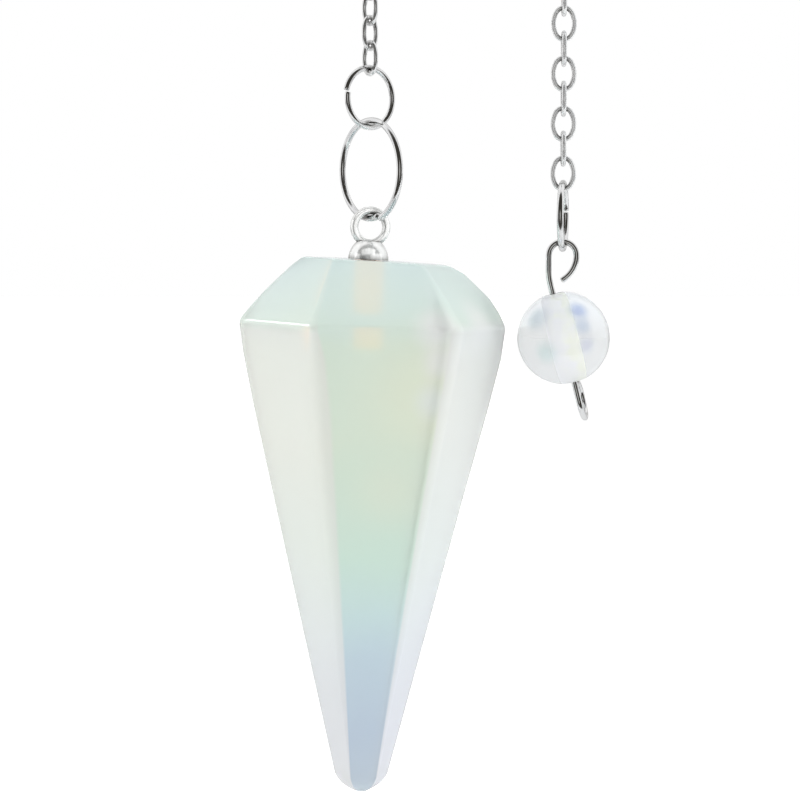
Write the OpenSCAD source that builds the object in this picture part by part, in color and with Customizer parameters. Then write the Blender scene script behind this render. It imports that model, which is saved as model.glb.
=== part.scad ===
// Pendulum of milky opal glass: a six-sided point on a fine cable chain,
// with a round bead on a wire pin at the chain's other end.
// It hangs doubled over one point, the origin, which is the underside of
// the chain's crown. X is to the right, Y is to the back and Z is up.

/* [Stone] */
// Height of the stone from its girdle down to its tip
body_h = 35.9; // [28:0.1:44]
// Height of the bevelled crown above the girdle
crown_h = 4.7; // [3:0.1:6.5]
// Width across the corners at the girdle, before they are rounded
girdle_d = 21.2; // [17:0.1:25]
// Width across the corners of the top facet
top_d = 11; // [8:0.1:14]
// Width across the corners where the tip is blunted
tip_d = 4.2; // [3:0.1:5.5]
// Height of the blunted tip
tip_h = 1.36; // [0.8:0.02:2]
// Rounding of the corners at the girdle, where it is largest
corner_r = 3; // [1:0.1:4]
// Rounding of the girdle's edge between two corners
girdle_r = 0.6; // [0.3:0.05:1.5]
// Rounding of the top facet's edge
top_r = 0.35; // [0.2:0.05:0.6]
// How far the right shoulder bulges out of its flat bevel
shoulder_bulge = 0.8; // [0:0.05:1.2]
// How far the left shoulder, which is less worn, bulges out
left_bulge = 0.2; // [0:0.05:0.6]
// Turn of the stone's corners about its own axis
stone_turn = -23.5; // [-30:0.5:30]
// Lean of the hanging stone, tip to the left
stone_lean = 1.6; // [0:0.1:4]
// Slope of the top facet across the stone's own axis
crown_tilt = 2; // [0:0.1:4]

/* [Bail] */
// Diameter of the bore in the stone
bore_d = 2.2; // [1.8:0.05:2.6]
// Depth of the bore below the top facet
bore_h = 6; // [4:0.1:9]
// Diameter of the peg that is glued into the bore
peg_d = 1.2; // [0.9:0.05:1.5]
// Length of the peg below the bell
peg_h = 4.6; // [3:0.1:5.5]
// Diameter of the bell at its base
bell_d = 3.06; // [2.6:0.02:4]
// Height of the bell
bell_h = 1.35; // [1:0.05:2]
// Radius of the bell's rounded flank
bell_curve_r = 1.75; // [1.6:0.05:2.6]
// Outer diameter of the eye above the bell
eye_d = 3.05; // [2.7:0.05:4]
// Thickness of the eye's band
eye_band_t = 0.6; // [0.45:0.01:0.7]
// Width of the eye's band along its hole
eye_band_w = 0.7; // [0.65:0.05:1]
// Depth to which the eye is set into the bell
eye_sink = 0.42; // [0.3:0.02:0.6]
// Turn of the eye about the upright, left side nearer
eye_turn = 10; // [-20:1:30]

/* [Jump rings] */
// Outer diameter of the large jump ring
large_d = 7.8; // [7:0.1:9]
// Wire of the large jump ring
large_wire = 0.48; // [0.4:0.01:0.6]
// Turn of the large ring about the upright, right side nearer
large_turn = -54; // [-75:1:-35]
// Place of the large ring's cut, counted from its right end upwards
large_cut = -72; // [-76:1:-55]
// Step between the two ends at the large ring's cut, upper one further out
large_step = 0.2; // [0:0.02:0.3]
// Outer diameter of the small jump ring
small_d = 4.75; // [4:0.05:5.5]
// Wire of the small jump ring
small_wire = 0.44; // [0.36:0.01:0.55]
// Turn of the small ring about the upright, left side nearer
small_turn = 40; // [20:1:60]
// Place of the small ring's cut
small_cut = 168; // [120:1:200]
// Step between the two ends at the small ring's cut
small_step = 0.18; // [0:0.02:0.3]
// Outer diameter of the end ring that carries the bead's pin
end_d = 5.4; // [4.8:0.1:6.5]
// Wire of the end ring
end_wire = 0.5; // [0.4:0.01:0.6]
// Turn of the end ring about the upright, left side nearer
end_turn = 81; // [70:1:95]
// Place of the end ring's cut
end_cut = 8; // [-30:1:40]
// Step between the two ends at the end ring's cut
end_step = 0.06; // [0:0.02:0.2]
// Gap that is left at each ring's cut
cut_gap = 0.12; // [0.06:0.02:0.3]

/* [Chain] */
// Number of links in the chain, an odd number
link_count = 97; // [81:2:121]
// Outer length of a link
link_l = 2.71; // [2.6:0.01:3]
// Outer width of a link
link_w = 1.93; // [1.8:0.01:2.1]
// Wire of the links
link_wire = 0.36; // [0.3:0.01:0.38]
// Clearance between two neighbouring links
link_gap = 0.13; // [0.11:0.01:0.2]
// Distance between the two strands
strand_gap = 14.5; // [13.5:0.1:22]
// How much lower the right strand ends than the left one
strand_step = 8.6; // [4:0.1:14]
// Turn of the left strand's links about the upright
left_turn = -45; // [-60:1:60]
// How much further apart the left strand's links are turned than square
left_spread = 12; // [0:1:20]

/* [Bead and pin] */
// Diameter of the bead
bead_d = 7; // [6:0.1:7.6]
// Diameter of the bead's bore
bead_bore = 1.5; // [1:0.05:2]
// Wire of the bead's pin
pin_wire = 0.46; // [0.38:0.01:0.55]
// Lean of the pin inside the bead, foot to the right
pin_tilt = 14; // [0:0.5:20]
// Distance of the pin's kink from the bead
kink_gap = 1.2; // [0.2:0.05:2]
// Length of the upright shank from the kink to the hook
shank_h = 1.6; // [1:0.02:4]
// Outer diameter of the hook over the end ring
hook_d = 2.54; // [2.3:0.02:3.4]
// Radius of the hook's opened end, along the middle of its wire
hook_end_r = 2.15; // [1.5:0.05:4]
// Turn of the hook's opened end
hook_end_turn = 62; // [30:1:75]
// Outer diameter of the closed eye below the bead
foot_d = 3.3; // [2.6:0.05:4]
// Turn of the closed eye about the pin, towards the front
foot_turn = 100; // [60:1:180]

/* [Hidden] */
// Clearance between hung wires, and between a bead or bell and its seat
hang_gap = 0.05;
// Clearance of the glue from the peg and from the bore
glue_gap = 0.03;
// How much thicker than its wire the pin is at the kink
kink_swell = 0.03;
// Distance of both straight runs from the middle of the kink
kink_half = 0.055;

// Round metal is drawn with this many sides, and the stone's rounded
// corners with this many steps each
round_fn = 48;
corner_steps = 4;

// The chain follows a stadium-shaped line: up the left strand, round the
// crown and down the right strand
pitch = link_l - 2 * link_wire - link_gap;
arch_r = strand_gap / 2;
arch_l = PI * arch_r;
crown_z = link_w / 2;
arch_z = crown_z - arch_r;
left_l = ((link_count - 1) * pitch - arch_l - strand_step) / 2;
right_l = left_l + strand_step;
left_x = -arch_r;
right_x = arch_r;
left_end_z = arch_z - left_l;
right_end_z = arch_z - right_l;
link_in = link_l / 2 - link_wire;

// How much higher a jump ring's wider upper half reaches than its lower half
function ring_rise(cut, step) = step / 2 * (1 + sin(cut));

// Links that turn the left strand's roll back to nought, far above the rings
twist_first = 6;
twist_links = 36;

// Heights of what hangs on the left strand
small_r = small_d / 2;
large_r = large_d / 2;
small_z = left_end_z - link_in + hang_gap - (small_r - small_wire)
    - ring_rise(small_cut, small_step);
large_z = small_z - (small_r - small_wire) + hang_gap - (large_r - large_wire)
    - ring_rise(large_cut, large_step);
eye_z = large_z - (large_r - large_wire) + hang_gap - (eye_d / 2 - eye_band_t);

// The bail stands square on the sloping top facet, and the stone is set so
// that its centre of mass hangs under the eye. That centre lies a share of
// the body's height below the girdle.
mass_share = 0.233;
eye_h = bell_h - eye_sink + eye_d / 2;
bail_lean = stone_lean + crown_tilt;
mass_depth = crown_h + mass_share * body_h;
top_off = (eye_h * sin(bail_lean) + mass_depth * sin(stone_lean)) / cos(bail_lean);

// Heights of what hangs on the right strand
end_r = end_d / 2;
end_z = right_end_z - link_in + hang_gap - (end_r - end_wire)
    - ring_rise(end_cut, end_step);
hook_r = (hook_d - pin_wire) / 2;
hook_z = end_z - (end_r - end_wire) + hang_gap - (hook_r - pin_wire / 2);
kink_h = bead_d / 2 + kink_gap;
bead_x = right_x - hook_r + kink_h * sin(pin_tilt);
bead_z = hook_z - shank_h - kink_half - kink_h * cos(pin_tilt);

// The bead rests on the closed eye, whose end stops short of the pin
foot_r = (foot_d - pin_wire) / 2;
foot_reach = bead_d / 2 + hang_gap + foot_d / 2;
foot_h = kink_h - kink_half + sqrt(foot_reach * foot_reach - foot_r * foot_r);
foot_sweep = 360 - acos(1 - (pin_wire + hang_gap) / foot_r);

// The blunted tip: share of tip_h above its end, share of tip_d and share
// of corner_r
TIP_HEIGHT = 0;
TIP_WIDTH = 1;
TIP_ROUND = 2;
TIP = [
    [0.00, 0.18, 0.03],
    [0.06, 0.32, 0.05],
    [0.23, 0.53, 0.08],
    [0.42, 0.71, 0.11],
    [0.68, 0.87, 0.13],
    [1.00, 1.00, 0.15],
];
// The tapering body: share of its height up to the girdle, share of
// corner_r and share of the shoulders' bulge. Its width follows from the
// taper.
BODY_HEIGHT = 0;
BODY_ROUND = 1;
BODY_BULGE = 2;
BODY = [
    [0.30, 0.18, 0.00],
    [0.62, 0.24, 0.00],
    [0.82, 0.36, 0.12],
    [0.93, 0.62, 0.20],
];
// The crown: share of the way from the girdle to the top facet, share of
// corner_r and share of the shoulders' bulge
CROWN_WAY = 0;
CROWN_ROUND = 1;
CROWN_BULGE = 2;
CROWN = [
    [0.22, 0.72, 0.55],
    [0.45, 0.52, 1.00],
    [0.68, 0.36, 0.95],
    [0.86, 0.28, 0.90],
];
// How much wider or narrower the top facet is towards each of the six
// faces, from the front left one round to the back left one
FACET_SHARE = [1.15, 1.00, 1.03, 0.97, 1.00, 0.89];
// How round each corner is beside the roundest, from the left one
CORNER_SHARE = [1.00, 0.35, 0.60, 1.15, 0.80, 0.80];

// Inner radii, from the middle to a face
apothem = cos(30);
girdle_in = girdle_d / 2 * apothem;
top_in = top_d / 2 * apothem;
tip_in = tip_d / 2 * apothem;
crown_in = girdle_in - top_in;
taper_h = body_h - tip_h;
taper_a = atan((girdle_in - tip_in) / taper_h);
bevel_a = atan(crown_in / crown_h);
half_turn = (taper_a + bevel_a) / 2;
girdle_run = girdle_r * tan(half_turn);
girdle_sag = girdle_r * (1 / cos(half_turn) - 1);
top_half = (90 - bevel_a) / 2;
top_run = top_r * tan(top_half);
top_sag = top_r * (1 / cos(top_half) - 1);
// Shares of corner_r at the girdle's edges and at the top facet's, and of
// the shoulders' bulge at the girdle, just above it and under the top facet
girdle_round = 0.95;
top_round = 0.25;
girdle_bulge = 0.04;
bevel_bulge = 0.1;
top_bulge = 0.3;

// Direction of a corner or face, counted from the front towards the right
function heading(a) = [sin(a), -cos(a)];
function corner_a(i) = stone_turn - 60 + 60 * i;

// Where the lines of two neighbouring faces meet, d0 and d1 from the middle
function corner(i, d0, d1) =
    heading(corner_a(i)) * ((d0 + d1) / (2 * apothem))
    + heading(corner_a(i) + 90) * (d1 - d0);

// One rounded corner as an arc that touches both faces
function corner_arc(i, d0, d1, r) = [
    for (j = [0:corner_steps])
        corner(i, d0, d1) - heading(corner_a(i)) * (r / apothem)
        + heading(corner_a(i) + 60 * (j / corner_steps - 0.5)) * r
];

// A point moved outwards, most at the far right and the far left
function bulged(p, share) =
    let (side = p[0] / norm(p))
    let (bulge = side > 0 ? shoulder_bulge : left_bulge)
    p * (1 + share * bulge * side * side / norm(p));

// A whole section: its height, the six inner radii, rounding and share of
// the bulge. Above the girdle it slopes with the top facet.
function section(z, ins, r, share = 0) = [
    for (i = [0:5])
        for (p = corner_arc(i, ins[(i + 5) % 6], ins[i], r * CORNER_SHARE[i]))
            let (q = bulged(p, share))
                [q[0], q[1], z - q[0] * tan(crown_tilt) * max(0, z) / crown_h]
];
function evenly(d) = [for (i = [0:5]) d];
function crown_ins(share) = [
    for (i = [0:5]) girdle_in + share * (top_in * FACET_SHARE[i] - girdle_in)
];
function taper_in(share) = tip_in + share * (girdle_in - tip_in);

girdle_share = girdle_run * cos(bevel_a) / crown_h;
top_share = 1 - top_run * cos(bevel_a) / crown_h;
stone_sections = concat(
    [for (row = TIP) section(
        tip_h * row[TIP_HEIGHT] - body_h,
        evenly(tip_in * row[TIP_WIDTH]),
        corner_r * row[TIP_ROUND]
    )],
    [for (row = BODY) section(
        tip_h - body_h + taper_h * row[BODY_HEIGHT],
        evenly(taper_in(row[BODY_HEIGHT])),
        corner_r * row[BODY_ROUND],
        row[BODY_BULGE]
    )],
    [
        section(
            -girdle_run * cos(taper_a),
            evenly(girdle_in - girdle_run * sin(taper_a)),
            corner_r * girdle_round, girdle_bulge
        ),
        section(0, evenly(girdle_in - girdle_sag), corner_r, girdle_bulge),
        section(
            crown_h * girdle_share, crown_ins(girdle_share),
            corner_r * girdle_round, bevel_bulge
        ),
    ],
    [for (row = CROWN) section(
        crown_h * row[CROWN_WAY],
        crown_ins(row[CROWN_WAY]),
        corner_r * row[CROWN_ROUND],
        row[CROWN_BULGE]
    )],
    [
        section(
            crown_h * top_share, crown_ins(top_share), corner_r * top_round,
            top_bulge
        ),
        section(
            crown_h - top_sag * cos(top_half),
            crown_ins(1 + top_sag * sin(top_half) / crown_in),
            corner_r * top_round
        ),
        section(
            crown_h, crown_ins(1 + top_run / crown_in), corner_r * top_round
        ),
    ]
);

// A closed solid through a list of sections, each wound the same way
module loft(sections) {
    n = len(sections[0]);
    last = len(sections) - 1;
    points = [for (s = sections) for (p = s) p];
    sides = [
        for (k = [0:last - 1])
            for (i = [0:n - 1])
                let (a = k * n + i, b = k * n + (i + 1) % n)
                    each [[a, a + n, b + n], [a, b + n, b]]
    ];
    foot = [[for (i = [0:n - 1]) i]];
    lid = [[for (i = [0:n - 1]) last * n + n - 1 - i]];
    polyhedron(points, concat(foot, lid, sides));
}

// Round wire that starts upwards at the origin and bends over to the left
module wire_bend(r, wire, turn) {
    translate([-r, 0, 0])
        rotate([90, 0, 0])
            rotate_extrude(angle = turn, $fn = round_fn)
                translate([r, 0])
                    circle(d = wire, $fn = round_fn);
}

// A cut jump ring. It starts opposite its cut as two half circles, and the
// upper one is wider, so its end lies a step further out than the other.
module jump_ring(d, wire, turn, cut, step) {
    r = (d - wire) / 2;
    half_a = 180 - cut_gap / r * 90 / PI;
    rotate([0, 0, turn])
        rotate([0, 180 - cut, 0])
            mirror([0, 0, cos(cut) < 0 ? 1 : 0])
                translate([r, 0, 0]) {
                    wire_bend(r, wire, half_a);
                    mirror([0, 0, 1])
                        wire_bend(r + step / 2, wire, half_a);
                }
}

// Places things in the stone's own frame: its girdle's middle, axis up
module at_stone() {
    translate([left_x, 0, eye_z])
        rotate([0, bail_lean, 0])
            translate([top_off, 0, -eye_h - hang_gap])
                rotate([0, -crown_tilt, 0])
                    translate([0, 0, -crown_h])
                        children();
}

// Places things on the bail's axis, with the bell's base at nought
module at_bail() {
    translate([left_x, 0, eye_z])
        rotate([0, bail_lean, 0])
            translate([0, 0, -eye_h])
                children();
}

module stone() {
    color("#d9efe6")
        difference() {
            at_stone() loft(stone_sections);
            at_bail()
                translate([0, 0, -bore_h])
                    cylinder(h = bore_h + bell_h, d = bore_d, $fn = round_fn);
        }
}

// The glue fills the bore round the peg and ends in a dome
module glue_plug() {
    plug_d = bore_d - 2 * glue_gap;
    dome_h = plug_d / 2;
    body = bore_h - hang_gap - dome_h - glue_gap;
    color("#e6c98f")
        at_bail()
            translate([0, 0, -hang_gap])
                difference() {
                    union() {
                        translate([0, 0, -body])
                            cylinder(h = body, d = plug_d, $fn = round_fn);
                        translate([0, 0, -body])
                            sphere(d = plug_d, $fn = round_fn);
                    }
                    translate([0, 0, -peg_h - glue_gap])
                        cylinder(
                            h = peg_h + bell_h, d = peg_d + 2 * glue_gap,
                            $fn = round_fn
                        );
                }
}

// The bell's flank is a round arc from its base up to its flat top
module bell_profile() {
    intersection() {
        translate([bell_d / 2 - bell_curve_r, 0])
            circle(r = bell_curve_r, $fn = 2 * round_fn);
        square([bell_d, bell_h]);
    }
}

module eye_profile() {
    flat_w = eye_band_w - eye_band_t;
    square([eye_band_t, flat_w], center = true);
    for (side = [-1, 1])
        translate([0, side * flat_w / 2])
            circle(d = eye_band_t, $fn = round_fn);
}

module bail() {
    color("#c9ccd1")
        at_bail() {
            translate([0, 0, -peg_h])
                cylinder(h = peg_h + bell_h / 2, d = peg_d, $fn = round_fn);
            rotate_extrude($fn = round_fn)
                bell_profile();
            translate([0, 0, eye_h])
                rotate([90, 0, eye_turn])
                    rotate_extrude($fn = round_fn)
                        translate([(eye_d - eye_band_t) / 2, 0])
                            eye_profile();
        }
}

module ring_large() {
    color("#c9ccd1")
        translate([left_x, 0, large_z])
            jump_ring(large_d, large_wire, large_turn, large_cut, large_step);
}

module ring_small() {
    color("#c9ccd1")
        translate([left_x, 0, small_z])
            jump_ring(small_d, small_wire, small_turn, small_cut, small_step);
}

module end_ring() {
    color("#c9ccd1")
        translate([right_x, 0, end_z])
            jump_ring(end_d, end_wire, end_turn, end_cut, end_step);
}

// A link is two half circles and two straight sides
module link() {
    end_r = (link_w - link_wire) / 2;
    side_h = link_l - link_w;
    for (side = [0, 180])
        rotate([0, side, 0]) {
            translate([end_r, 0, side_h / 2])
                wire_bend(end_r, link_wire, 180);
            translate([end_r, 0, -side_h / 2])
                cylinder(h = side_h, d = link_wire, $fn = round_fn);
        }
}

// Place and lean of a link, by its distance along the chain's line
function arch_a(s) = min(180, max(0, (s - left_l) / arch_r * 180 / PI));
function chain_x(s) = -arch_r * cos(arch_a(s));
function chain_z(s) =
    s < left_l ? left_end_z + s
    : s > left_l + arch_l ? arch_z - (s - left_l - arch_l)
    : arch_z + arch_r * sin(arch_a(s));
function link_roll(k) =
    let (odd = k % 2, held = 1 - min(1, max(0, (k - twist_first) / twist_links)))
        90 * odd + held * (left_turn + left_spread * (2 * odd - 1));

module chain() {
    color("#c9ccd1")
        for (k = [0:link_count - 1])
            translate([chain_x(k * pitch), 0, chain_z(k * pitch)])
                rotate([0, arch_a(k * pitch), 0])
                    rotate([0, 0, link_roll(k)])
                        link();
}

// The pin's hook: a half circle over the end ring, then its opened end
module hook() {
    wire_bend(hook_r, pin_wire, 180);
    translate([-2 * hook_r, 0, 0])
        rotate([0, 180, 0])
            wire_bend(hook_end_r, pin_wire, hook_end_turn);
}

// A straight run that starts inside the kink's ball and carries a bend
module wire_run(length) {
    translate([0, 0, kink_half]) {
        cylinder(h = length, d = pin_wire, $fn = round_fn);
        translate([0, 0, length])
            children();
    }
}

// The upright shank and the run through the bead meet in a small ball
module bead_pin() {
    color("#c9ccd1")
        translate([bead_x, 0, bead_z])
            rotate([0, -pin_tilt, 0])
                translate([0, 0, kink_h]) {
                    sphere(d = pin_wire + kink_swell, $fn = round_fn);
                    rotate([0, pin_tilt, 0])
                        wire_run(shank_h)
                            rotate([0, 0, 180])
                                hook();
                    rotate([180, 0, foot_turn])
                        wire_run(foot_h)
                            wire_bend(foot_r, pin_wire, foot_sweep);
                }
}

module bead() {
    color("#dfeaf2")
        translate([bead_x, 0, bead_z])
            rotate([0, -pin_tilt, 0])
                difference() {
                    sphere(d = bead_d, $fn = 2 * round_fn);
                    cylinder(
                        h = 2 * bead_d, d = bead_bore, center = true,
                        $fn = round_fn
                    );
                }
}

stone();
glue_plug();
bail();
ring_large();
ring_small();
chain();
end_ring();
bead_pin();
bead();
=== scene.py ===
import math

import bpy
import numpy as np
from mathutils import Matrix, Vector


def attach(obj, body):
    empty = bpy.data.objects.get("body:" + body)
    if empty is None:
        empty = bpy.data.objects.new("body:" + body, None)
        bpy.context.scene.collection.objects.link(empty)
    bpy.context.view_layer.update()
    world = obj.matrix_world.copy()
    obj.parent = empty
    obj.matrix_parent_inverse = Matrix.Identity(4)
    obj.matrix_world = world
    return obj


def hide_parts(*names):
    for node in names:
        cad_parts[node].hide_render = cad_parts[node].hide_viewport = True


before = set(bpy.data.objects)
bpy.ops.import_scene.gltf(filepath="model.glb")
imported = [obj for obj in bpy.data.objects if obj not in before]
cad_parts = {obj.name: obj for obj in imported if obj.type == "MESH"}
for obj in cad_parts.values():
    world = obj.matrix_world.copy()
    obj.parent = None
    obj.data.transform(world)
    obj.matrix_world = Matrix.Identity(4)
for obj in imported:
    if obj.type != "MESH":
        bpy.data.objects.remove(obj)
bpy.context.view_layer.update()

# Lengths in this script are in millimetres, as in the CAD source, and the
# meshes are written in metres. Angles are in degrees
MM = 0.001

# Stone: heights of its body and crown, widths across corners, and the radii of its edges
BODY_H, CROWN_H = 35.9, 4.7
GIRDLE_D, TOP_D, TIP_D, TIP_H = 21.2, 11, 4.2, 1.36
CORNER_R, GIRDLE_R, TOP_R = 3, 0.6, 0.35
# How far the right shoulder, and the less worn left one, bulges out
SHOULDER_BULGE, LEFT_BULGE = 0.8, 0.2
# Turn about its axis, lean as it hangs, and tilt of the top facet
STONE_TURN, STONE_LEAN, CROWN_TILT = -23.5, 1.6, 2
# Turn of the front face, which is the deep-coloured one, half way between two corners
FRONT_TURN = STONE_TURN + 30
# How far down the body its centre of mass lies, as a share of the body's height
MASS_SHARE = 0.233
BORE_D, BORE_H, BORE_CHAMFER = 2.2, 6, 0.06
# Bail: height of the bell, and the eye that is sunk in it
BELL_H, EYE_D, EYE_BAND_T, EYE_SINK = 1.35, 3.05, 0.6, 0.42

# Cut rings: outer diameter, wire, turn about Z, place of the cut and the step beside it
LARGE_D, LARGE_WIRE, LARGE_TURN, LARGE_CUT, LARGE_STEP = 7.8, 0.48, -54, -72, 0.2
SMALL_D, SMALL_WIRE, SMALL_TURN, SMALL_CUT, SMALL_STEP = 4.75, 0.44, 40, 168, 0.18
END_D, END_WIRE, END_TURN, END_CUT, END_STEP = 5.4, 0.5, 81, 8, 0.06
CUT_GAP = 0.12
HANG_GAP = 0.05

# Chain: its links, the distance between its strands and how much lower the right one ends
LINK_COUNT, LINK_L, LINK_W, LINK_WIRE, LINK_GAP = 97, 2.71, 1.93, 0.36, 0.13
LINK_END_R = 0.66
STRAND_GAP, STRAND_STEP = 14.5, 8.6
# The left strand's lowest links are turned and spread, and the turn fades over some links
LEFT_TURN, LEFT_SPREAD, TWIST_FIRST, TWIST_LINKS = -45, 12, 6, 36

# Bead and its pin: an open hook, a shank, a kink, the run through the bead and a closed eye
BEAD_D, BEAD_BORE, BEAD_RIM = 7, 1.5, 0.12
PIN_WIRE, PIN_TILT, KINK_GAP, KINK_HALF, SHANK_H = 0.46, 14, 1.2, 0.055, 1.6
# How far from the kink the pin starts to bend
KINK_BEND = 0.45
HOOK_D, HOOK_END_R, HOOK_END_TURN = 2.54, 2.15, 62
FOOT_D, FOOT_TURN = 3.3, 100


def sin(a):
    return math.sin(math.radians(a))


def cos(a):
    return math.cos(math.radians(a))


def tan(a):
    return math.tan(math.radians(a))


def ring_rise(cut, step):
    """How much higher a jump ring's wider half reaches than its other half."""
    return step / 2 * (1 + sin(cut))


# Places of the chain, the rings, the bail, the stone and the bead, worked out as in the CAD source
PITCH = LINK_L - 2 * LINK_WIRE - LINK_GAP
ARCH_R = STRAND_GAP / 2
ARCH_L = math.pi * ARCH_R
ARCH_Z = LINK_W / 2 - ARCH_R
LEFT_L = ((LINK_COUNT - 1) * PITCH - ARCH_L - STRAND_STEP) / 2
LEFT_X, RIGHT_X = -ARCH_R, ARCH_R
LEFT_END_Z = ARCH_Z - LEFT_L
RIGHT_END_Z = LEFT_END_Z - STRAND_STEP
LINK_IN = LINK_L / 2 - LINK_WIRE
SMALL_Z = (LEFT_END_Z - LINK_IN + HANG_GAP - (SMALL_D / 2 - SMALL_WIRE)
           - ring_rise(SMALL_CUT, SMALL_STEP))
LARGE_Z = (SMALL_Z - (SMALL_D / 2 - SMALL_WIRE) + HANG_GAP - (LARGE_D / 2 - LARGE_WIRE)
           - ring_rise(LARGE_CUT, LARGE_STEP))
EYE_Z = LARGE_Z - (LARGE_D / 2 - LARGE_WIRE) + HANG_GAP - (EYE_D / 2 - EYE_BAND_T)
EYE_H = BELL_H - EYE_SINK + EYE_D / 2
BAIL_LEAN = STONE_LEAN + CROWN_TILT
MASS_DEPTH = CROWN_H + MASS_SHARE * BODY_H
TOP_OFF = (EYE_H * sin(BAIL_LEAN) + MASS_DEPTH * sin(STONE_LEAN)) / cos(BAIL_LEAN)
END_Z = RIGHT_END_Z - LINK_IN + HANG_GAP - (END_D / 2 - END_WIRE) - ring_rise(END_CUT, END_STEP)
HOOK_R = (HOOK_D - PIN_WIRE) / 2
HOOK_Z = END_Z - (END_D / 2 - END_WIRE) + HANG_GAP - (HOOK_R - PIN_WIRE / 2)
KINK_H = BEAD_D / 2 + KINK_GAP
BEAD_X = RIGHT_X - HOOK_R + KINK_H * sin(PIN_TILT)
BEAD_Z = HOOK_Z - SHANK_H - KINK_HALF - KINK_H * cos(PIN_TILT)
FOOT_R = (FOOT_D - PIN_WIRE) / 2
FOOT_REACH = BEAD_D / 2 + HANG_GAP + FOOT_D / 2
FOOT_H = KINK_H - KINK_HALF + math.sqrt(FOOT_REACH ** 2 - FOOT_R ** 2)
FOOT_SWEEP = 360 - math.degrees(math.acos(1 - (PIN_WIRE + HANG_GAP) / FOOT_R))


# Small matrix helpers, so that a place reads as it does in the CAD source
def move(x, y, z):
    return Matrix.Translation((x, y, z))


def turn(axis, degrees):
    return Matrix.Rotation(math.radians(degrees), 4, axis)


def placed(matrix, points):
    m = np.array(matrix)
    return np.asarray(points, float) @ m[:3, :3].T + m[:3, 3]


AT_BAIL = move(LEFT_X, 0, EYE_Z) @ turn("Y", BAIL_LEAN) @ move(0, 0, -EYE_H)
AT_STONE = AT_BAIL @ move(TOP_OFF, 0, -HANG_GAP) @ turn("Y", -CROWN_TILT) @ move(0, 0, -CROWN_H)
AT_BEAD = move(BEAD_X, 0, BEAD_Z) @ turn("Y", -PIN_TILT)
GIRDLE_Z = AT_STONE.translation.z


# Camera: the photograph's angle, nearly level and straight from the front
CAMERA_TARGET = Vector((-5.01, 0, -105.55)) * MM
CAMERA_ELEVATION, CAMERA_DISTANCE, CAMERA_LENS = 4.4, 168.35 * MM, 100


def make_camera():
    data = bpy.data.cameras.new("camera")
    data.lens = CAMERA_LENS
    data.sensor_width = 36
    data.clip_start = 0.01
    data.clip_end = 20
    camera = bpy.data.objects.new("camera", data)
    bpy.context.scene.collection.objects.link(camera)
    look = Vector((0, cos(CAMERA_ELEVATION), -sin(CAMERA_ELEVATION)))
    camera.location = CAMERA_TARGET - look * CAMERA_DISTANCE
    camera.rotation_euler = look.to_track_quat("-Z", "Y").to_euler()
    bpy.context.scene.camera = camera
    bpy.context.scene.view_settings.view_transform = "Standard"


# Materials
def new_material(name):
    material = bpy.data.materials.new(name)
    material.use_nodes = True
    tree = material.node_tree
    tree.nodes.clear()
    shader = tree.nodes.new("ShaderNodeBsdfPrincipled")
    out = tree.nodes.new("ShaderNodeOutputMaterial")
    tree.links.new(shader.outputs["BSDF"], out.inputs["Surface"])
    return material, tree, shader, out


def add(tree, kind, **values):
    """A node with its properties and, by name, its sockets set."""
    node = tree.nodes.new(kind)
    for name, value in values.items():
        if name in node.inputs:
            node.inputs[name].default_value = value
        else:
            setattr(node, name, value)
    return node


def set_sockets(node, values):
    for name, value in values.items():
        node.inputs[name].default_value = value


def ramp_node(tree, stops, factor):
    """A colour ramp over a factor. Each of the stops is a place and a colour."""
    node = tree.nodes.new("ShaderNodeValToRGB")
    elements = node.color_ramp.elements
    while len(elements) < len(stops):
        elements.new(0.5)
    for element, (place, colour) in zip(elements, stops):
        element.position = place
        element.color = (*colour, 1)
    tree.links.new(factor, node.inputs["Fac"])
    return node.outputs["Color"]


def mapped(tree, value, start, end, at_start=0.0, at_end=1.0, interpolation="LINEAR"):
    """Goes from at_start, where the value is start, to at_end, where it is end, and no further."""
    node = add(tree, "ShaderNodeMapRange", interpolation_type=interpolation)
    set_sockets(node, {"From Min": start, "From Max": end, "To Min": at_start, "To Max": at_end})
    tree.links.new(value, node.inputs["Value"])
    return node.outputs["Result"]


def scaled_and_added(tree, value, scale, addend):
    """Value times scale, plus an addend that is a number or a socket."""
    node = add(tree, "ShaderNodeMath", operation="MULTIPLY_ADD")
    tree.links.new(value, node.inputs[0])
    node.inputs[1].default_value = scale
    if isinstance(addend, float):
        node.inputs[2].default_value = addend
    else:
        tree.links.new(addend, node.inputs[2])
    return node.outputs["Value"]


def vector_step(tree, operation, vector, other=None):
    """One vector node: its first input is linked and its second, if there is one, is a constant."""
    node = add(tree, "ShaderNodeVectorMath", operation=operation)
    tree.links.new(vector, node.inputs[0])
    if other is not None:
        node.inputs[1].default_value = other
    return node


def parts_of(tree, vector):
    node = add(tree, "ShaderNodeSeparateXYZ")
    tree.links.new(vector, node.inputs["Vector"])
    return node.outputs


def mix_colours(tree, factor, first, second):
    """Blends two colours. Each is a socket or three numbers."""
    node = add(tree, "ShaderNodeMix", data_type="RGBA")
    tree.links.new(factor, node.inputs[0])
    for socket, colour in ((node.inputs[6], first), (node.inputs[7], second)):
        if isinstance(colour, tuple):
            socket.default_value = (*colour, 1)
        else:
            tree.links.new(colour, socket)
    return node.outputs[2]


def noise(tree, vector, **values):
    node = add(tree, "ShaderNodeTexNoise", **values)
    tree.links.new(vector, node.inputs["Vector"])
    return node.outputs["Fac"]


# Colour of the painted shade where wire meets wire
CREVICE_SHADE = (0.10, 0.095, 0.085)


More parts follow.
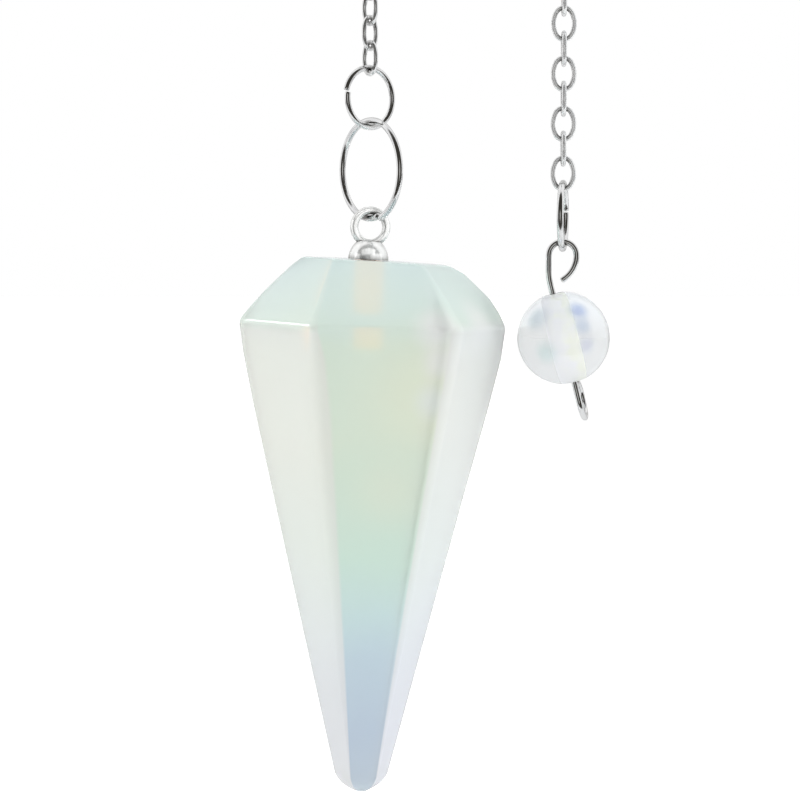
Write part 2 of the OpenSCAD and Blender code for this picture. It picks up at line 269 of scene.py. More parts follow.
def silver_material(name, metallic, dull, bright, stretch=1, right=None):
    """Bright silver plate: soft waves from drawing or casting, and painted shade where wire meets wire.
    Stretch is how much longer than wide its marks are, along Z. Right is the metallic share at the
    right strand, lower than on the left, which paints that strand lighter."""
    material, tree, shader, _ = new_material(name)
    place = add(tree, "ShaderNodeTexCoord").outputs["Object"]
    long_place = vector_step(tree, "MULTIPLY", place, (1, 1, 1 / stretch)).outputs["Vector"]
    cloud = noise(tree, long_place, Scale=900, Detail=3)
    tint = ramp_node(tree, [(0.3, dull), (0.62, bright)], cloud)
    # Painted shade: ambient occlusion darkens the colour where wire meets wire and the wires shade each
    # other
    crevice = add(tree, "ShaderNodeAmbientOcclusion", Distance=0.6 * MM, samples=8)
    painted_shade = mapped(tree, crevice.outputs["AO"], start=0.95, end=0.50, at_end=0.9)
    tree.links.new(mix_colours(tree, painted_shade, tint, CREVICE_SHADE), shader.inputs["Base Color"])
    rough = mapped(tree, cloud, start=0.3, end=0.7, at_start=0.20, at_end=0.10)
    tree.links.new(rough, shader.inputs["Roughness"])
    bump = add(tree, "ShaderNodeBump", Strength=0.06, Distance=0.03 * MM)
    tree.links.new(noise(tree, long_place, Scale=1500, Detail=1), bump.inputs["Height"])
    tree.links.new(bump.outputs["Normal"], shader.inputs["Normal"])
    if right is None:
        shader.inputs["Metallic"].default_value = metallic
    else:
        # Painted light: the metallic share falls towards the right strand, so that strand looks lighter
        painted_light_metallic = mapped(tree, parts_of(tree, place)["X"], LEFT_X * MM, RIGHT_X * MM, metallic, right)
        tree.links.new(painted_light_metallic, shader.inputs["Metallic"])
    return material


# How far the noise shifts the opal's bands of colour up and down, in all
COLOUR_SWAY = 6
# Cosines of the turns away from a deep-coloured face at which the painted sheen starts and is full
SHEEN_FROM, SHEEN_FULL = 0.998, 0.95
# How much the painted sheen whitens the sides on the body and on the crown, which meet over this height
# at the girdle
BODY_SHEEN, CROWN_SHEEN, SHEEN_BLEND = 0.8, 0.15, 0.8
# Colours of the painted sheen on the faces that look left and right
LEFT_SHEEN, RIGHT_SHEEN = (0.93, 0.90, 0.88), (0.96, 0.93, 0.975)


def with_colour_and_shade_clouds(tree, place, colour, clouds):
    """Soft clouds in a colour: the stone's are its own colour, and the bead's are painted shade. Each is
    a middle, a radius and a colour of its own.
    """
    for middle, radius, cloud_colour in clouds:
        away = vector_step(tree, "DISTANCE", place, Vector(middle) * MM)
        near = mapped(tree, away.outputs["Value"], start=radius * MM, end=0,
                      interpolation="SMOOTHERSTEP")
        colour = mix_colours(tree, near, colour, cloud_colour)
    return colour


def with_painted_side_sheen(tree, normal, height, colour, deep_turn):
    """Painted sheen: milky white over the faces that look sideways from the deep-coloured one, less on
    the crown.
    """
    level = vector_step(tree, "MULTIPLY", normal, (1, 1, 0)).outputs["Vector"]
    unit = vector_step(tree, "NORMALIZE", level).outputs["Vector"]
    facing = vector_step(tree, "DOT_PRODUCT", unit, (sin(deep_turn), -cos(deep_turn), 0))
    size = add(tree, "ShaderNodeMath", operation="ABSOLUTE")
    tree.links.new(facing.outputs["Value"], size.inputs[0])
    # Painted sheen: faces turned away from the deep-coloured one are whitened by their direction, as
    # reflections whiten them
    sideways = mapped(tree, size.outputs["Value"], SHEEN_FROM, SHEEN_FULL, at_end=BODY_SHEEN,
                      interpolation="SMOOTHSTEP")
    crown = mapped(tree, height, (GIRDLE_Z - SHEEN_BLEND / 2) * MM, (GIRDLE_Z + SHEEN_BLEND / 2) * MM,
                   at_start=1, at_end=CROWN_SHEEN)
    sheen_share = add(tree, "ShaderNodeMath", operation="MULTIPLY")
    tree.links.new(sideways, sheen_share.inputs[0])
    tree.links.new(crown, sheen_share.inputs[1])
    white = ramp_node(tree, [(0, LEFT_SHEEN), (1, RIGHT_SHEEN)], parts_of(tree, unit)["X"])
    return mix_colours(tree, sheen_share.outputs["Value"], colour, white)


def opal_material(name, stops, span, clouds, transmission, roughness, absorb, density, deep_turn=None):
    """Milky glass that changes colour along its height, between the two ends of its span, with soft
    clouds in it, which in the bead are painted shade. Deep_turn, where it is given, is the turn of the
    face that keeps the deep colour, and the faces turned away from it get a painted sheen."""
    material, tree, shader, out = new_material(name)
    coordinates = add(tree, "ShaderNodeTexCoord")
    place = coordinates.outputs["Object"]
    height = parts_of(tree, place)["Z"]
    cloud = noise(tree, place, Scale=110, Detail=1.5, Roughness=0.4)
    sway = scaled_and_added(tree, cloud, COLOUR_SWAY * MM, height)
    low, high = (end * MM + COLOUR_SWAY / 2 * MM for end in span)
    colour = with_colour_and_shade_clouds(tree, place, ramp_node(tree, stops, mapped(tree, sway, low, high)), clouds)
    if deep_turn is not None:
        colour = with_painted_side_sheen(tree, coordinates.outputs["Normal"], height, colour, deep_turn)
    tree.links.new(colour, shader.inputs["Base Color"])
    set_sockets(shader, {"Roughness": roughness, "IOR": 1.5, "Transmission Weight": transmission})
    volume = add(tree, "ShaderNodeVolumeAbsorption", Color=(*absorb, 1), Density=density)
    tree.links.new(volume.outputs["Volume"], out.inputs["Volume"])
    return material


def glue_material():
    """Amber glue with faint bubbles and a painted glow, bright enough to show through milky glass."""
    material, tree, shader, _ = new_material("glowing_amber_glue")
    cloud = noise(tree, add(tree, "ShaderNodeTexCoord").outputs["Object"], Scale=1500, Detail=2)
    tint = ramp_node(tree, [(0.3, (0.94, 0.68, 0.40)), (0.7, (0.98, 0.82, 0.60))], cloud)
    tree.links.new(tint, shader.inputs["Base Color"])
    # Painted light: the glue glows, though it is no lamp
    set_sockets(shader, {"Roughness": 0.3, "Emission Color": (1.0, 0.72, 0.55, 1),
                         "Emission Strength": 0.45})
    return material


def frosted_material():
    """The ground wall of a drilled hole in glass: dull white, faintly lilac to one side and yellow
    to the other, with a painted glow."""
    material, tree, shader, _ = new_material("glowing_ground_glass")
    coordinates = add(tree, "ShaderNodeTexCoord")
    cloud = noise(tree, coordinates.outputs["Object"], Scale=1600, Detail=2)
    side = parts_of(tree, coordinates.outputs["Normal"])["X"]
    stops = [(0.25, (0.93, 0.92, 0.98)), (0.5, (0.97, 0.97, 0.96)), (0.75, (0.96, 0.98, 0.82))]
    tint = ramp_node(tree, stops, scaled_and_added(tree, side, 0.35, cloud))
    tree.links.new(tint, shader.inputs["Base Color"])
    # Painted light: the wall glows, though it is no lamp
    set_sockets(shader, {"Roughness": 0.6, "Emission Color": (1.0, 1.0, 0.96, 1),
                         "Emission Strength": 0.32})
    return material


# Colours up the stone, from its blue tip to its mint crown: share of the span, colour
STONE_STOPS = [
    (0.00, (0.60, 0.68, 0.76)),
    (0.12, (0.58, 0.68, 0.80)),
    (0.24, (0.64, 0.77, 0.86)),
    (0.34, (0.70, 0.87, 0.88)),
    (0.46, (0.75, 0.93, 0.83)),
    (0.66, (0.84, 0.94, 0.81)),
    (0.84, (0.84, 0.95, 0.84)),
    (0.90, (0.82, 0.94, 0.90)),
    (1.00, (0.79, 0.92, 0.94)),
]
STONE_SPAN = (-135.6, -94.7)
# Clouds in the stone, yellowish in the front face and white round its upper right corner
STONE_CLOUDS = [
    ((-3.0, -8.0, -104.5), 7.5, (0.93, 0.97, 0.80)),
    ((-5.5, -8.0, -112.0), 5.0, (0.88, 0.94, 0.80)),
    ((-2.3, -8.6, -99.7), 2.7, (1.0, 1.0, 1.0)),
    ((-2.0, -8.3, -102.2), 2.2, (1.0, 1.0, 0.97)),
    ((-2.6, -7.9, -105.2), 2.2, (0.94, 0.98, 0.94)),
    ((1.7, -4.4, -99.3), 3.6, (1.0, 1.0, 1.0)),
]
BEAD_STOPS = [
    (0.00, (0.88, 0.90, 0.92)),
    (0.50, (0.92, 0.93, 0.93)),
    (1.00, (0.86, 0.89, 0.93)),
]
BEAD_SPAN = (-104.4, -97.4)
# Painted shade in the bead beside its bore, tinted with the opal's own blue: blue to the right of the
# bore and grey and green to the left
BEAD_SHADE_CLOUDS = [
    ((BEAD_X + 0.90, -2.6, BEAD_Z + 2.2), 1.3, (0.36, 0.46, 0.74)),
    ((BEAD_X + 1.15, -3.0, BEAD_Z + 1.0), 1.1, (0.58, 0.66, 0.82)),
    ((BEAD_X + 1.45, -3.0, BEAD_Z - 0.4), 1.1, (0.72, 0.75, 0.88)),
    ((BEAD_X - 2.3, -2.4, BEAD_Z + 1.7), 1.7, (0.46, 0.54, 0.60)),
    ((BEAD_X - 1.5, -3.0, BEAD_Z - 1.0), 1.4, (0.66, 0.80, 0.80)),
]


# Meshes
LEAST_LENGTH = 1e-30


def normals_by_area(points, faces):
    """Normals at the points, where large flat faces outweigh narrow rounded ones."""
    total = np.zeros_like(points)
    for face in faces:
        corners = points[list(face)]
        first = corners[0]
        area = np.zeros(3)
        for i in range(1, len(face) - 1):
            area += np.cross(corners[i] - first, corners[i + 1] - first)
        total[list(face)] += area
    # The least length keeps a point whose faces have no area from dividing by nothing
    return total / np.maximum(np.linalg.norm(total, axis=1, keepdims=True), LEAST_LENGTH)


def make_piece(name, points, faces, body, node, slot, material, walls=None):
    """A piece that stands for a CAD node. Walls, where glass has a drilled hole, are the hole's
    faces and their material, and such a piece takes its normals by area."""
    points = np.asarray(points, float)
    mesh = bpy.data.meshes.new(name)
    mesh.from_pydata((points * MM).tolist(), [], faces)
    mesh.polygons.foreach_set("use_smooth", [True] * len(mesh.polygons))
    mesh.update()
    mesh.materials.append(material)
    if walls:
        mesh.normals_split_custom_set_from_vertices(normals_by_area(points, faces).tolist())
        wall_faces, wall_material = walls
        mesh.materials.append(wall_material)
        for i in wall_faces:
            mesh.polygons[i].material_index = 1
    piece = bpy.data.objects.new(name, mesh)
    bpy.context.scene.collection.objects.link(piece)
    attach(piece, body)
    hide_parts(node)
    return piece


def faces_between_rows(count, sides, closed):
    """Quads between rows of points round a tube. A closed tube joins its last row to its first,
    and an open one is capped."""
    faces = []
    for k in range(count if closed else count - 1):
        a, b = k * sides, (k + 1) % count * sides
        for j in range(sides):
            faces.append((a + j, a + (j + 1) % sides, b + (j + 1) % sides, b + j))
    if not closed:
        faces.append(tuple(range(sides - 1, -1, -1)))
        faces.append(tuple(range((count - 1) * sides, count * sides)))
    return faces


def path_frames(points, closed):
    """Directions along a path and across it, turning as little as they can."""
    n = len(points)
    ahead = np.roll(points, -1, axis=0) - points
    behind = points - np.roll(points, 1, axis=0)
    if not closed:
        ahead[-1] = behind[-1]
        behind[0] = ahead[0]
    along = ahead / np.linalg.norm(ahead, axis=1, keepdims=True)
    along += behind / np.linalg.norm(behind, axis=1, keepdims=True)
    along /= np.linalg.norm(along, axis=1, keepdims=True)
    # Any direction that no wire here starts along will do for the first crossing
    start = np.cross(along[0], (0.31, 0.83, 0.47))
    across = [start / np.linalg.norm(start)]
    for i in range(1, n):
        side = across[-1] - along[i] * (across[-1] @ along[i])
        across.append(side / np.linalg.norm(side))
    across = np.array(across)
    return along, across, np.cross(along, across)


def wire_mesh(points, wire, sides, closed=False, bevel=0.0):
    """Round wire along a path. An open one has flat ends with a small bevel."""
    points = np.asarray(points, float)
    along, across, other = path_frames(points, closed)
    angles = np.linspace(0, 2 * math.pi, sides, endpoint=False)
    rows = [
        points[i] + wire / 2 * (np.outer(np.cos(angles), across[i]) + np.outer(np.sin(angles), other[i]))
        for i in range(len(points))
    ]
    if not closed:
        inner = 1 - 2 * bevel / wire
        first = points[0] + (rows[0] - points[0]) * inner
        last = points[-1] + (rows[-1] - points[-1]) * inner
        rows = [first, rows[0] + along[0] * bevel, *rows[1:-1], rows[-1] - along[-1] * bevel, last]
    return np.concatenate(rows), faces_between_rows(len(rows), sides, closed)


def arc(middle, u, v, radius, first, last, steps):
    """Points on an arc in the plane of u and v."""
    a = np.radians(np.linspace(first, last, steps + 1))
    return np.asarray(middle, float) + radius * (np.outer(np.cos(a), u) + np.outer(np.sin(a), v))


X, _, Z = np.eye(3)


def jump_ring(x, z, d, wire, turned, cut, step):
    """Path of a cut ring: two half circles that meet opposite the cut, one of them wider."""
    r = (d - wire) / 2
    half_a = 180 - math.degrees(CUT_GAP / (2 * r))
    even = arc((0, 0, 0), X, Z, r, 0, half_a, steps=44)
    wide = arc((-step / 2, 0, 0), X, -Z, r + step / 2, 0, half_a, steps=44)
    path = np.concatenate([even[::-1], wide[1:]])
    if cos(cut) < 0:
        path = path * (1, 1, -1)
    return placed(move(x, 0, z) @ turn("Z", turned) @ turn("Y", 180 - cut), path)


def link_path(steps):
    """A slightly oval link: tight end arcs that run into long flat ones, inside the CAD link."""
    half_l, half_w = (LINK_L - LINK_WIRE) / 2, (LINK_W - LINK_WIRE) / 2
    side = half_l - LINK_END_R
    side_r = (side ** 2 + half_w ** 2 - LINK_END_R ** 2) / (2 * (half_w - LINK_END_R))
    open_a = math.degrees(math.asin(side / (side_r - LINK_END_R)))
    top = arc((0, 0, side), X, Z, LINK_END_R, open_a, 180 - open_a, steps)
    left = arc((side_r - half_w, 0, 0), X, Z, side_r, 180 - open_a, 180 + open_a, steps // 2 + 2)
    half = np.concatenate([top[:-1], left[:-1]])
    return np.concatenate([half, half * (-1, 1, -1)])


def link_place(k):
    """Place of a link, counted from the left strand's end, up it, over the arch and down the right."""
    s = k * PITCH
    lean = min(180, max(0, math.degrees((s - LEFT_L) / ARCH_R)))
    if s < LEFT_L:
        z = LEFT_END_Z + s
    elif s > LEFT_L + ARCH_L:
        z = ARCH_Z - (s - LEFT_L - ARCH_L)
    else:
        z = ARCH_Z + ARCH_R * sin(lean)
    odd = k % 2
    held = 1 - min(1, max(0, (k - TWIST_FIRST) / TWIST_LINKS))
    roll = 90 * odd + held * (LEFT_TURN + LEFT_SPREAD * (2 * odd - 1))
    return move(-ARCH_R * cos(lean), 0, z) @ turn("Y", lean) @ turn("Z", roll)


def chain_mesh():
    verts, faces = wire_mesh(link_path(steps=12), LINK_WIRE, sides=12, closed=True)
    all_verts, all_faces = [], []
    for k in range(LINK_COUNT):
        base = k * len(verts)
        all_verts.append(placed(link_place(k), verts))
        all_faces += [tuple(i + base for i in f) for f in faces]
    return np.concatenate(all_verts), all_faces


def pin_path():
    """Opened hook, shank, a soft kink, the run through the bead and the closed eye under it."""
    along = AT_BEAD @ move(0, 0, KINK_H)
    upright = along @ turn("Y", PIN_TILT)
    top = SHANK_H + KINK_HALF
    hook = arc((HOOK_R, 0, top), -X, Z, HOOK_R, 0, 180, steps=28)
    end = arc((2 * HOOK_R - HOOK_END_R, 0, top), X, -Z, HOOK_END_R, 0, HOOK_END_TURN, steps=16)
    shank = [(0, 0, z) for z in np.linspace(KINK_BEND, top, num=11)[1:-1]]
    upper = placed(upright, np.concatenate([end[::-1], hook[::-1][1:], shank[::-1]]))
    a = placed(upright, [(0, 0, KINK_BEND)])[0]
    b = placed(along, [(0, 0, -KINK_BEND)])[0]
    middle = placed(along, [(0, 0, 0)])[0]
    t = np.linspace(0, 1, num=9)[:, None]
    bend = a * (1 - t) ** 2 + 2 * middle * t * (1 - t) + b * t ** 2
    below = along @ turn("X", 180) @ turn("Z", FOOT_TURN)
    length = FOOT_H + KINK_HALF
    run = [(0, 0, z) for z in np.linspace(KINK_BEND, length, num=17)[1:-1]]
    eye = arc((-FOOT_R, 0, length), X, Z, FOOT_R, 0, FOOT_SWEEP, steps=56)
    lower = placed(below, np.concatenate([run, eye]))
    return np.concatenate([upper, bend, lower])


# Stone: the same sections as in the CAD source, with finer corners.
# Tip: share of its height, of its width and of the corner radius
TIP = [(0.00, 0.18, 0.03), (0.06, 0.32, 0.05), (0.23, 0.53, 0.08),
       (0.42, 0.71, 0.11), (0.68, 0.87, 0.13), (1.00, 1.00, 0.15)]
# Body: share of the way up from the tip, of the corner radius and of the shoulders' bulge
BODY = [(0.30, 0.18, 0.00), (0.62, 0.24, 0.00), (0.82, 0.36, 0.12), (0.93, 0.62, 0.20)]
# Crown: share of the way up from the girdle, of the corner radius and of the shoulders' bulge
CROWN = [(0.22, 0.72, 0.55), (0.45, 0.52, 1.00), (0.68, 0.36, 0.95), (0.86, 0.28, 0.90)]
# The six top edges' distances from the axis and the six corners' radii, as shares
FACET_SHARE = [1.15, 1.00, 1.03, 0.97, 1.00, 0.89]
CORNER_SHARE = [1.00, 0.35, 0.60, 1.15, 0.80, 0.80]
# Radii of the two front edges at the body's sections, which are worn rounder there
FRONT_EDGES = [(1.0, 0.9), (1.8, 1.2), (2.2, 1.4), (2.0, 1.5)]
# Shares of the corner radius beside the girdle and at the top, and of the bulge at the girdle,
# over it and at the top
GIRDLE_CORNER, TOP_CORNER = 0.95, 0.25
GIRDLE_BULGE, BEVEL_BULGE, TOP_BULGE = 0.04, 0.1, 0.3
CORNER_STEPS = 10
# Corners are 60 degrees apart, so a face's distance from the axis is this share of a corner's
APOTHEM = cos(30)
GIRDLE_IN, TOP_IN, TIP_IN = GIRDLE_D / 2 * APOTHEM, TOP_D / 2 * APOTHEM, TIP_D / 2 * APOTHEM


def heading(a):
    """A level direction, turned from straight towards the camera."""
    return np.array([sin(a), -cos(a)])


def section(z, ins, r, bulge_share=0.0, front=None):
    """A level section: a hexagon whose faces lie at six distances from the axis, with round
    corners. Its sides bulge out by a share. Front gives the two front corners radii of their own."""
    points = []
    for i in range(6):
        d0, d1 = ins[(i + 5) % 6], ins[i]
        a = STONE_TURN - 60 + 60 * i
        tip = heading(a) * ((d0 + d1) / (2 * APOTHEM)) + heading(a + 90) * (d1 - d0)
        rounding = r * CORNER_SHARE[i]
        if front and i in (1, 2):
            rounding = front[i - 1]
        for j in range(CORNER_STEPS + 1):
            p = tip - heading(a) * (rounding / APOTHEM)
            p = p + heading(a + 60 * (j / CORNER_STEPS - 0.5)) * rounding
            size = np.linalg.norm(p)
            side = p[0] / size
            bulge = SHOULDER_BULGE if side > 0 else LEFT_BULGE
            p = p * (1 + bulge_share * bulge * side * side / size)
            points.append((p[0], p[1], z - p[0] * tan(CROWN_TILT) * max(0, z) / CROWN_H))
    return np.array(points)


def crown_ins(share):
    """The crown's six faces' distances from the axis, at a share of the way up from the girdle."""
    return [GIRDLE_IN + share * (TOP_IN * f - GIRDLE_IN) for f in FACET_SHARE]


def stone_rows():
    """Sections from the tip up to the top facet, with the girdle and the top edge rounded."""
    crown_in = GIRDLE_IN - TOP_IN
    taper_h = BODY_H - TIP_H
    taper_a = math.degrees(math.atan((GIRDLE_IN - TIP_IN) / taper_h))
    bevel_a = math.degrees(math.atan(crown_in / CROWN_H))
    girdle_half = (taper_a + bevel_a) / 2
    girdle_run = GIRDLE_R * tan(girdle_half)
    girdle_sag = GIRDLE_R * (1 / cos(girdle_half) - 1)
    top_half = (90 - bevel_a) / 2
    top_run = TOP_R * tan(top_half)
    top_sag = TOP_R * (1 / cos(top_half) - 1)
    rows = [
        section(TIP_H * h - BODY_H, [TIP_IN * w] * 6, CORNER_R * r) for h, w, r in TIP
    ]
    rows += [
        section(TIP_H - BODY_H + taper_h * h, [TIP_IN + h * (GIRDLE_IN - TIP_IN)] * 6, CORNER_R * r,
                bulge_share, front)
        for (h, r, bulge_share), front in zip(BODY, FRONT_EDGES)
    ]
    bevel_start = girdle_run * cos(bevel_a) / CROWN_H
    bevel_end = 1 - top_run * cos(bevel_a) / CROWN_H
    beside_girdle = CORNER_R * GIRDLE_CORNER
    rows += [
        section(-girdle_run * cos(taper_a), [GIRDLE_IN - girdle_run * sin(taper_a)] * 6, beside_girdle,
                GIRDLE_BULGE),
        section(0, [GIRDLE_IN - girdle_sag] * 6, CORNER_R, GIRDLE_BULGE),
        section(CROWN_H * bevel_start, crown_ins(bevel_start), beside_girdle, BEVEL_BULGE),
    ]
    rows += [
        section(CROWN_H * h, crown_ins(h), CORNER_R * r, bulge_share) for h, r, bulge_share in CROWN
    ]
    edge_r = CORNER_R * TOP_CORNER
    rows += [
        section(CROWN_H * bevel_end, crown_ins(bevel_end), edge_r, TOP_BULGE),
        section(CROWN_H - top_sag * cos(top_half),
                crown_ins(1 + top_sag * sin(top_half) / crown_in), edge_r),
        section(CROWN_H, crown_ins(1 + top_run / crown_in), edge_r),
    ]
    return rows


def stone_mesh():
    rows = stone_rows()
    outer = placed(AT_STONE, np.concatenate(rows))
    n = len(rows[0])
    faces = [tuple(range(n - 1, -1, -1))]
    for k in range(len(rows) - 1):
        for i in range(n):
            j = (i + 1) % n
            faces.append((k * n + j, (k + 1) * n + j, (k + 1) * n + i, k * n + i))
    # The bore's rim faces the outline's points, and its chamfer, wall and floor go down from there
    edge = placed(AT_BAIL.inverted(), outer[-n:])
    angles = np.arctan2(edge[:, 1], edge[:, 0])
    ring = np.stack([np.cos(angles), np.sin(angles)], 1)
    bore = [
        np.column_stack([ring * r, np.full(n, z)]) for r, z in [
            (BORE_D / 2 + BORE_CHAMFER, -HANG_GAP),
            (BORE_D / 2, -HANG_GAP - BORE_CHAMFER),
            (BORE_D / 2, -BORE_H),
        ]
    ]
    points = np.concatenate([outer, placed(AT_BAIL, np.concatenate(bore))])
    top = len(rows) - 1
    for k in range(top, top + len(bore)):
        for i in range(n):
            j = (i + 1) % n
            faces.append(((k + 1) * n + i, k * n + i, k * n + j, (k + 1) * n + j))
    faces.append(tuple((top + len(bore)) * n + i for i in range(n)))
    # The last faces are those of the chamfer, the wall and the floor
    walls = range(len(faces) - 2 * n - 1, len(faces))
    return points, faces, walls


# Rows of points down the bead and round it, and its bore's two rims: out from the bore's wall
# and in from the rim's edge
BEAD_ROWS, BEAD_SIDES = 72, 96
RIM_ROWS = [(0.03, 0.05), (0, 0.13)]


def bead_mesh():
    """A ball with a bore along the pin, its rims slightly rounded."""
    r, hole = BEAD_D / 2, BEAD_BORE / 2
    low = math.degrees(math.asin((hole + BEAD_RIM) / r))
    rim_z = r * cos(low)
    profile = [(r * sin(a), -r * cos(a)) for a in np.linspace(low, 180 - low, BEAD_ROWS)]
    profile += [(hole + out, rim_z - inward) for out, inward in RIM_ROWS]
    profile += [(hole + out, inward - rim_z) for out, inward in reversed(RIM_ROWS)]
    angles = np.linspace(0, 2 * math.pi, BEAD_SIDES, endpoint=False)
    ring = np.stack([np.cos(angles), np.sin(angles)], 1)
    verts = np.concatenate([np.column_stack([ring * out, np.full(BEAD_SIDES, z)]) for out, z in profile])
    # The two rims and the wall between them, which come straight after the ball's faces
    walls = range(BEAD_ROWS * BEAD_SIDES, (BEAD_ROWS + 3) * BEAD_SIDES)
    return placed(AT_BEAD, verts), faces_between_rows(len(profile), BEAD_SIDES, closed=True), walls


# Pieces: name of the node, place along X and Z, and the ring's own sizes
RINGS = [
    ("ring_small", LEFT_X, SMALL_Z, SMALL_D, SMALL_WIRE, SMALL_TURN, SMALL_CUT, SMALL_STEP),
    ("ring_large", LEFT_X, LARGE_Z, LARGE_D, LARGE_WIRE, LARGE_TURN, LARGE_CUT, LARGE_STEP),
    ("end_ring", RIGHT_X, END_Z, END_D, END_WIRE, END_TURN, END_CUT, END_STEP),
]


def dress_node(name, material):
    """Gives a CAD node that stays its material."""
    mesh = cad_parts[name].data
    mesh.materials.clear()
    mesh.materials.append(material)


def make_metal():
    silver = silver_material("bright_silver", metallic=1, dull=(0.74, 0.74, 0.75),
                             bright=(0.90, 0.90, 0.90))
    chain_silver = silver_material("chain_silver", metallic=0.88, dull=(0.78, 0.78, 0.79),
                                   bright=(0.93, 0.93, 0.93), right=0.58)
    cast_silver = silver_material("cast_silver", metallic=0.6, dull=(0.55, 0.55, 0.54),
                                  bright=(0.93, 0.93, 0.92), stretch=6)
    make_piece("chain_links", *chain_mesh(), "hung_chain", "chain", "silver", chain_silver)
    for name, x, z, d, wire, turned, cut, step in RINGS:
        ring = wire_mesh(jump_ring(x, z, d, wire, turned, cut, step), wire, sides=24, bevel=0.04)
        make_piece(name + "_wire", *ring, "hung_chain", name, "silver", silver)
    pin = wire_mesh(pin_path(), PIN_WIRE, sides=24, bevel=0.08)
    make_piece("pin_wire", *pin, "hung_chain", "bead_pin", "silver", silver)
    dress_node("bail", cast_silver)


def make_glass():
    """The stone, the bead and the glue. The stone is returned, for its own light."""
    glue = glue_material()
    stone_glass = opal_material("opal_glass", STONE_STOPS, STONE_SPAN, STONE_CLOUDS, transmission=0.45,
                                roughness=0.22, absorb=(0.86, 0.93, 0.92), density=15,
                                deep_turn=FRONT_TURN)
    bead_glass = opal_material("opal_bead", BEAD_STOPS, BEAD_SPAN, BEAD_SHADE_CLOUDS, transmission=0.78,
                               roughness=0.04, absorb=(0.90, 0.94, 0.98), density=25)
    points, faces, walls = stone_mesh()
    stone = make_piece("opal_stone", points, faces, "drop", "stone", "opal_glass", stone_glass,
                       (walls, glue))
    points, faces, walls = bead_mesh()
    make_piece("opal_bead", points, faces, "bead_body", "bead", "opal_bead", bead_glass,
               (walls, frosted_material()))
    dress_node("glue_plug", glue)
    return stone


# Stage: a pale floor under the hanging thing and soft light all round
FLOOR_SIDE, FLOOR_FRONT, FLOOR_BACK, FLOOR_Z = 1500, -100, 3000, -190
# The floor's glow, how much less of it a mirror shows and how much more glass lets through
FLOOR_GLOW, FLOOR_MIRRORED, FLOOR_THROUGH = 0.6, -0.55, 0.46


def make_floor():
    corners = [(-FLOOR_SIDE, FLOOR_FRONT), (FLOOR_SIDE, FLOOR_FRONT), (FLOOR_SIDE, FLOOR_BACK),
               (-FLOOR_SIDE, FLOOR_BACK)]
    mesh = bpy.data.meshes.new("floor")
    mesh.from_pydata([(x * MM, y * MM, FLOOR_Z * MM) for x, y in corners], [], [(0, 1, 2, 3)])
    floor = bpy.data.objects.new("floor", mesh)
    bpy.context.scene.collection.objects.link(floor)
    material, tree, shader, _ = new_material("pale_floor")
    set_sockets(shader, {"Base Color": (0.8, 0.8, 0.8, 1), "Roughness": 0.9,
                         "Emission Color": (1, 1, 1, 1)})
    path = add(tree, "ShaderNodeLightPath").outputs
    mirrored = scaled_and_added(tree, path["Is Glossy Ray"], FLOOR_MIRRORED, FLOOR_GLOW)
    through = scaled_and_added(tree, path["Is Transmission Ray"], FLOOR_THROUGH, mirrored)
    tree.links.new(through, shader.inputs["Emission Strength"])
    mesh.materials.append(material)


WHITE, GREY, DARK = (1.0, 1.0, 1.0), (0.62, 0.62, 0.61), (0.045, 0.042, 0.036)
# What lies all round, from straight behind the camera, at 0, to straight behind the thing, at 1
STUDIO_STOPS = [
    (0.000, (0.70, 0.70, 0.68)), (0.008, (0.50, 0.50, 0.48)), (0.018, DARK), (0.34, DARK),
    (0.43, WHITE), (0.80, WHITE), (0.86, GREY), (0.955, GREY), (0.985, WHITE),
]
# Its strength, and the share of a direction's height that counts, which makes its bands taller
STUDIO_LIGHT, STUDIO_FLATTEN = 0.95, 0.75
# Share of plain white in what shows through glass
PLAIN_THROUGH = 0.88


def make_world():
    """White light from the sides, a dark room round the camera with a grey patch straight behind
    it, and a grey band round the white at the back, so that polished wire has dark lines in it.
    The camera itself sees plain white, and so does most of what passes through glass."""
    world = bpy.data.worlds.new("studio")
    bpy.context.scene.world = world
    world.use_nodes = True
    tree = world.node_tree
    tree.nodes.clear()
    out = tree.nodes.new("ShaderNodeOutputWorld")
    studio = add(tree, "ShaderNodeBackground", Strength=STUDIO_LIGHT)
    plain = add(tree, "ShaderNodeBackground", Color=(1, 1, 1, 1), Strength=1.0)
    place = add(tree, "ShaderNodeTexCoord").outputs["Generated"]
    flat = vector_step(tree, "MULTIPLY", place, (1, 1, STUDIO_FLATTEN)).outputs["Vector"]
    unit = vector_step(tree, "NORMALIZE", flat).outputs["Vector"]
    shade = ramp_node(tree, STUDIO_STOPS, mapped(tree, parts_of(tree, unit)["Y"], start=-1, end=1))
    tree.links.new(shade, studio.inputs["Color"])
    path = add(tree, "ShaderNodeLightPath").outputs
    share = scaled_and_added(tree, path["Is Transmission Ray"], PLAIN_THROUGH, path["Is Camera Ray"])
    pick = add(tree, "ShaderNodeMixShader")
    tree.links.new(share, pick.inputs["Fac"])
    tree.links.new(studio.outputs["Background"], pick.inputs[1])
    tree.links.new(plain.outputs["Background"], pick.inputs[2])
    tree.links.new(pick.outputs["Shader"], out.inputs["Surface"])


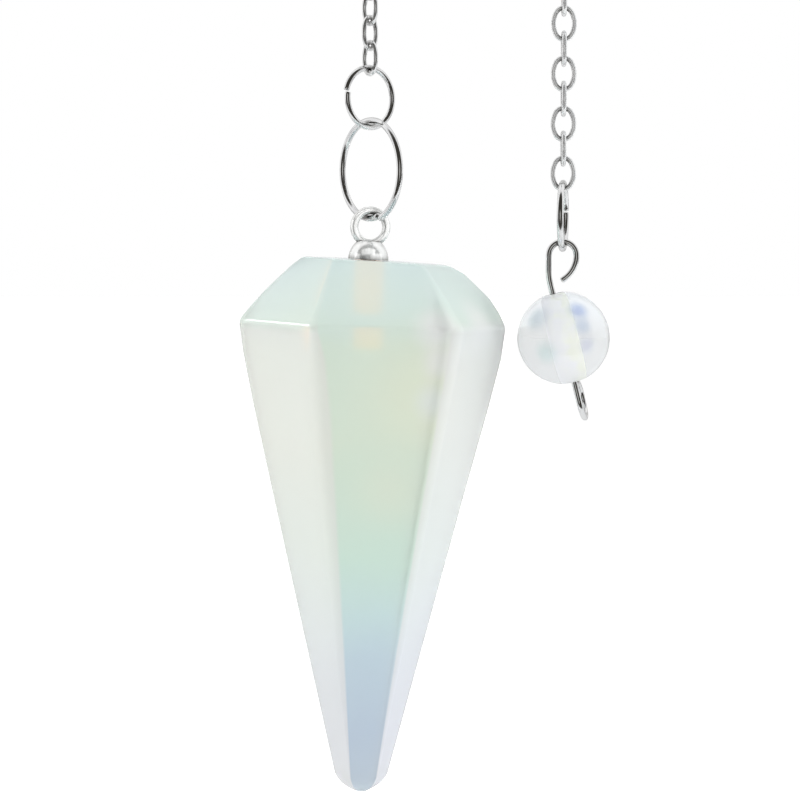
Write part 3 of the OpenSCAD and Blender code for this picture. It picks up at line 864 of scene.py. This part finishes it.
def soft_box(name, place, aim, width, height, radiance, gloss=True, only=None):
    """A soft light that the camera doesn't see. Its brightness is in the world's units.
    Without gloss it lights dull surfaces only, and no polished one mirrors it. Only is a
    collection of what it lights, if that isn't everything."""
    light = bpy.data.lights.new(name, "AREA")
    light.shape = "RECTANGLE"
    light.size = width * MM
    light.size_y = height * MM
    light.energy = radiance * math.pi * width * height * MM * MM
    lamp = bpy.data.objects.new(name, light)
    bpy.context.scene.collection.objects.link(lamp)
    lamp.location = Vector(place) * MM
    lamp.rotation_euler = (Vector(aim) - Vector(place)).to_track_quat("-Z", "Y").to_euler()
    lamp.visible_camera = False
    lamp.visible_glossy = gloss
    lamp.visible_transmission = gloss
    if only:
        lamp.light_linking.receiver_collection = only
    return lamp


def collection_of(name, piece):
    collection = bpy.data.collections.new(name)
    collection.objects.link(piece)
    return collection


# Cards that a bail mirrors: name, place, width and height
BAIL_CARDS = [
    ("bail_card_top", (0, -250, 130), 500, 200),
    ("bail_card_left", (-300, -120, -93), 200, 300),
    ("bail_card_right", (231, -214, -93), 465, 300),
]
SKY = (0.86, 0.95, 1.0)


def make_lights(stone):
    soft_box("left_light", (-330, 0, -140), aim=(0, 0, -110), width=300, height=320, radiance=1.2,
             gloss=False)
    soft_box("right_light", (330, 60, -40), aim=(0, 0, -110), width=260, height=320, radiance=1.15,
             gloss=False)
    soft_box("edge_light", (-366, 133, 30), aim=(-12, -5, -99), width=120, height=24, radiance=25,
             only=collection_of("stone_only", stone))
    bail_only = collection_of("bail_only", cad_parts["bail"])
    for name, place, width, height in BAIL_CARDS:
        soft_box(name, place, aim=(-7, 0, -93), width=width, height=height, radiance=1.0, only=bail_only)
    soft_box("front_fill", (-40, -410, 0), aim=(-5, 0, -110), width=420, height=420, radiance=2.05,
             gloss=False)
    crown_fill = soft_box("crown_fill", (280, -110, 170), aim=(-5, 0, -100), width=300, height=300,
                          radiance=1.8, gloss=False)
    crown_fill.data.color = SKY


make_camera()
make_metal()
opal_stone = make_glass()
make_floor()
make_world()
make_lights(opal_stone)
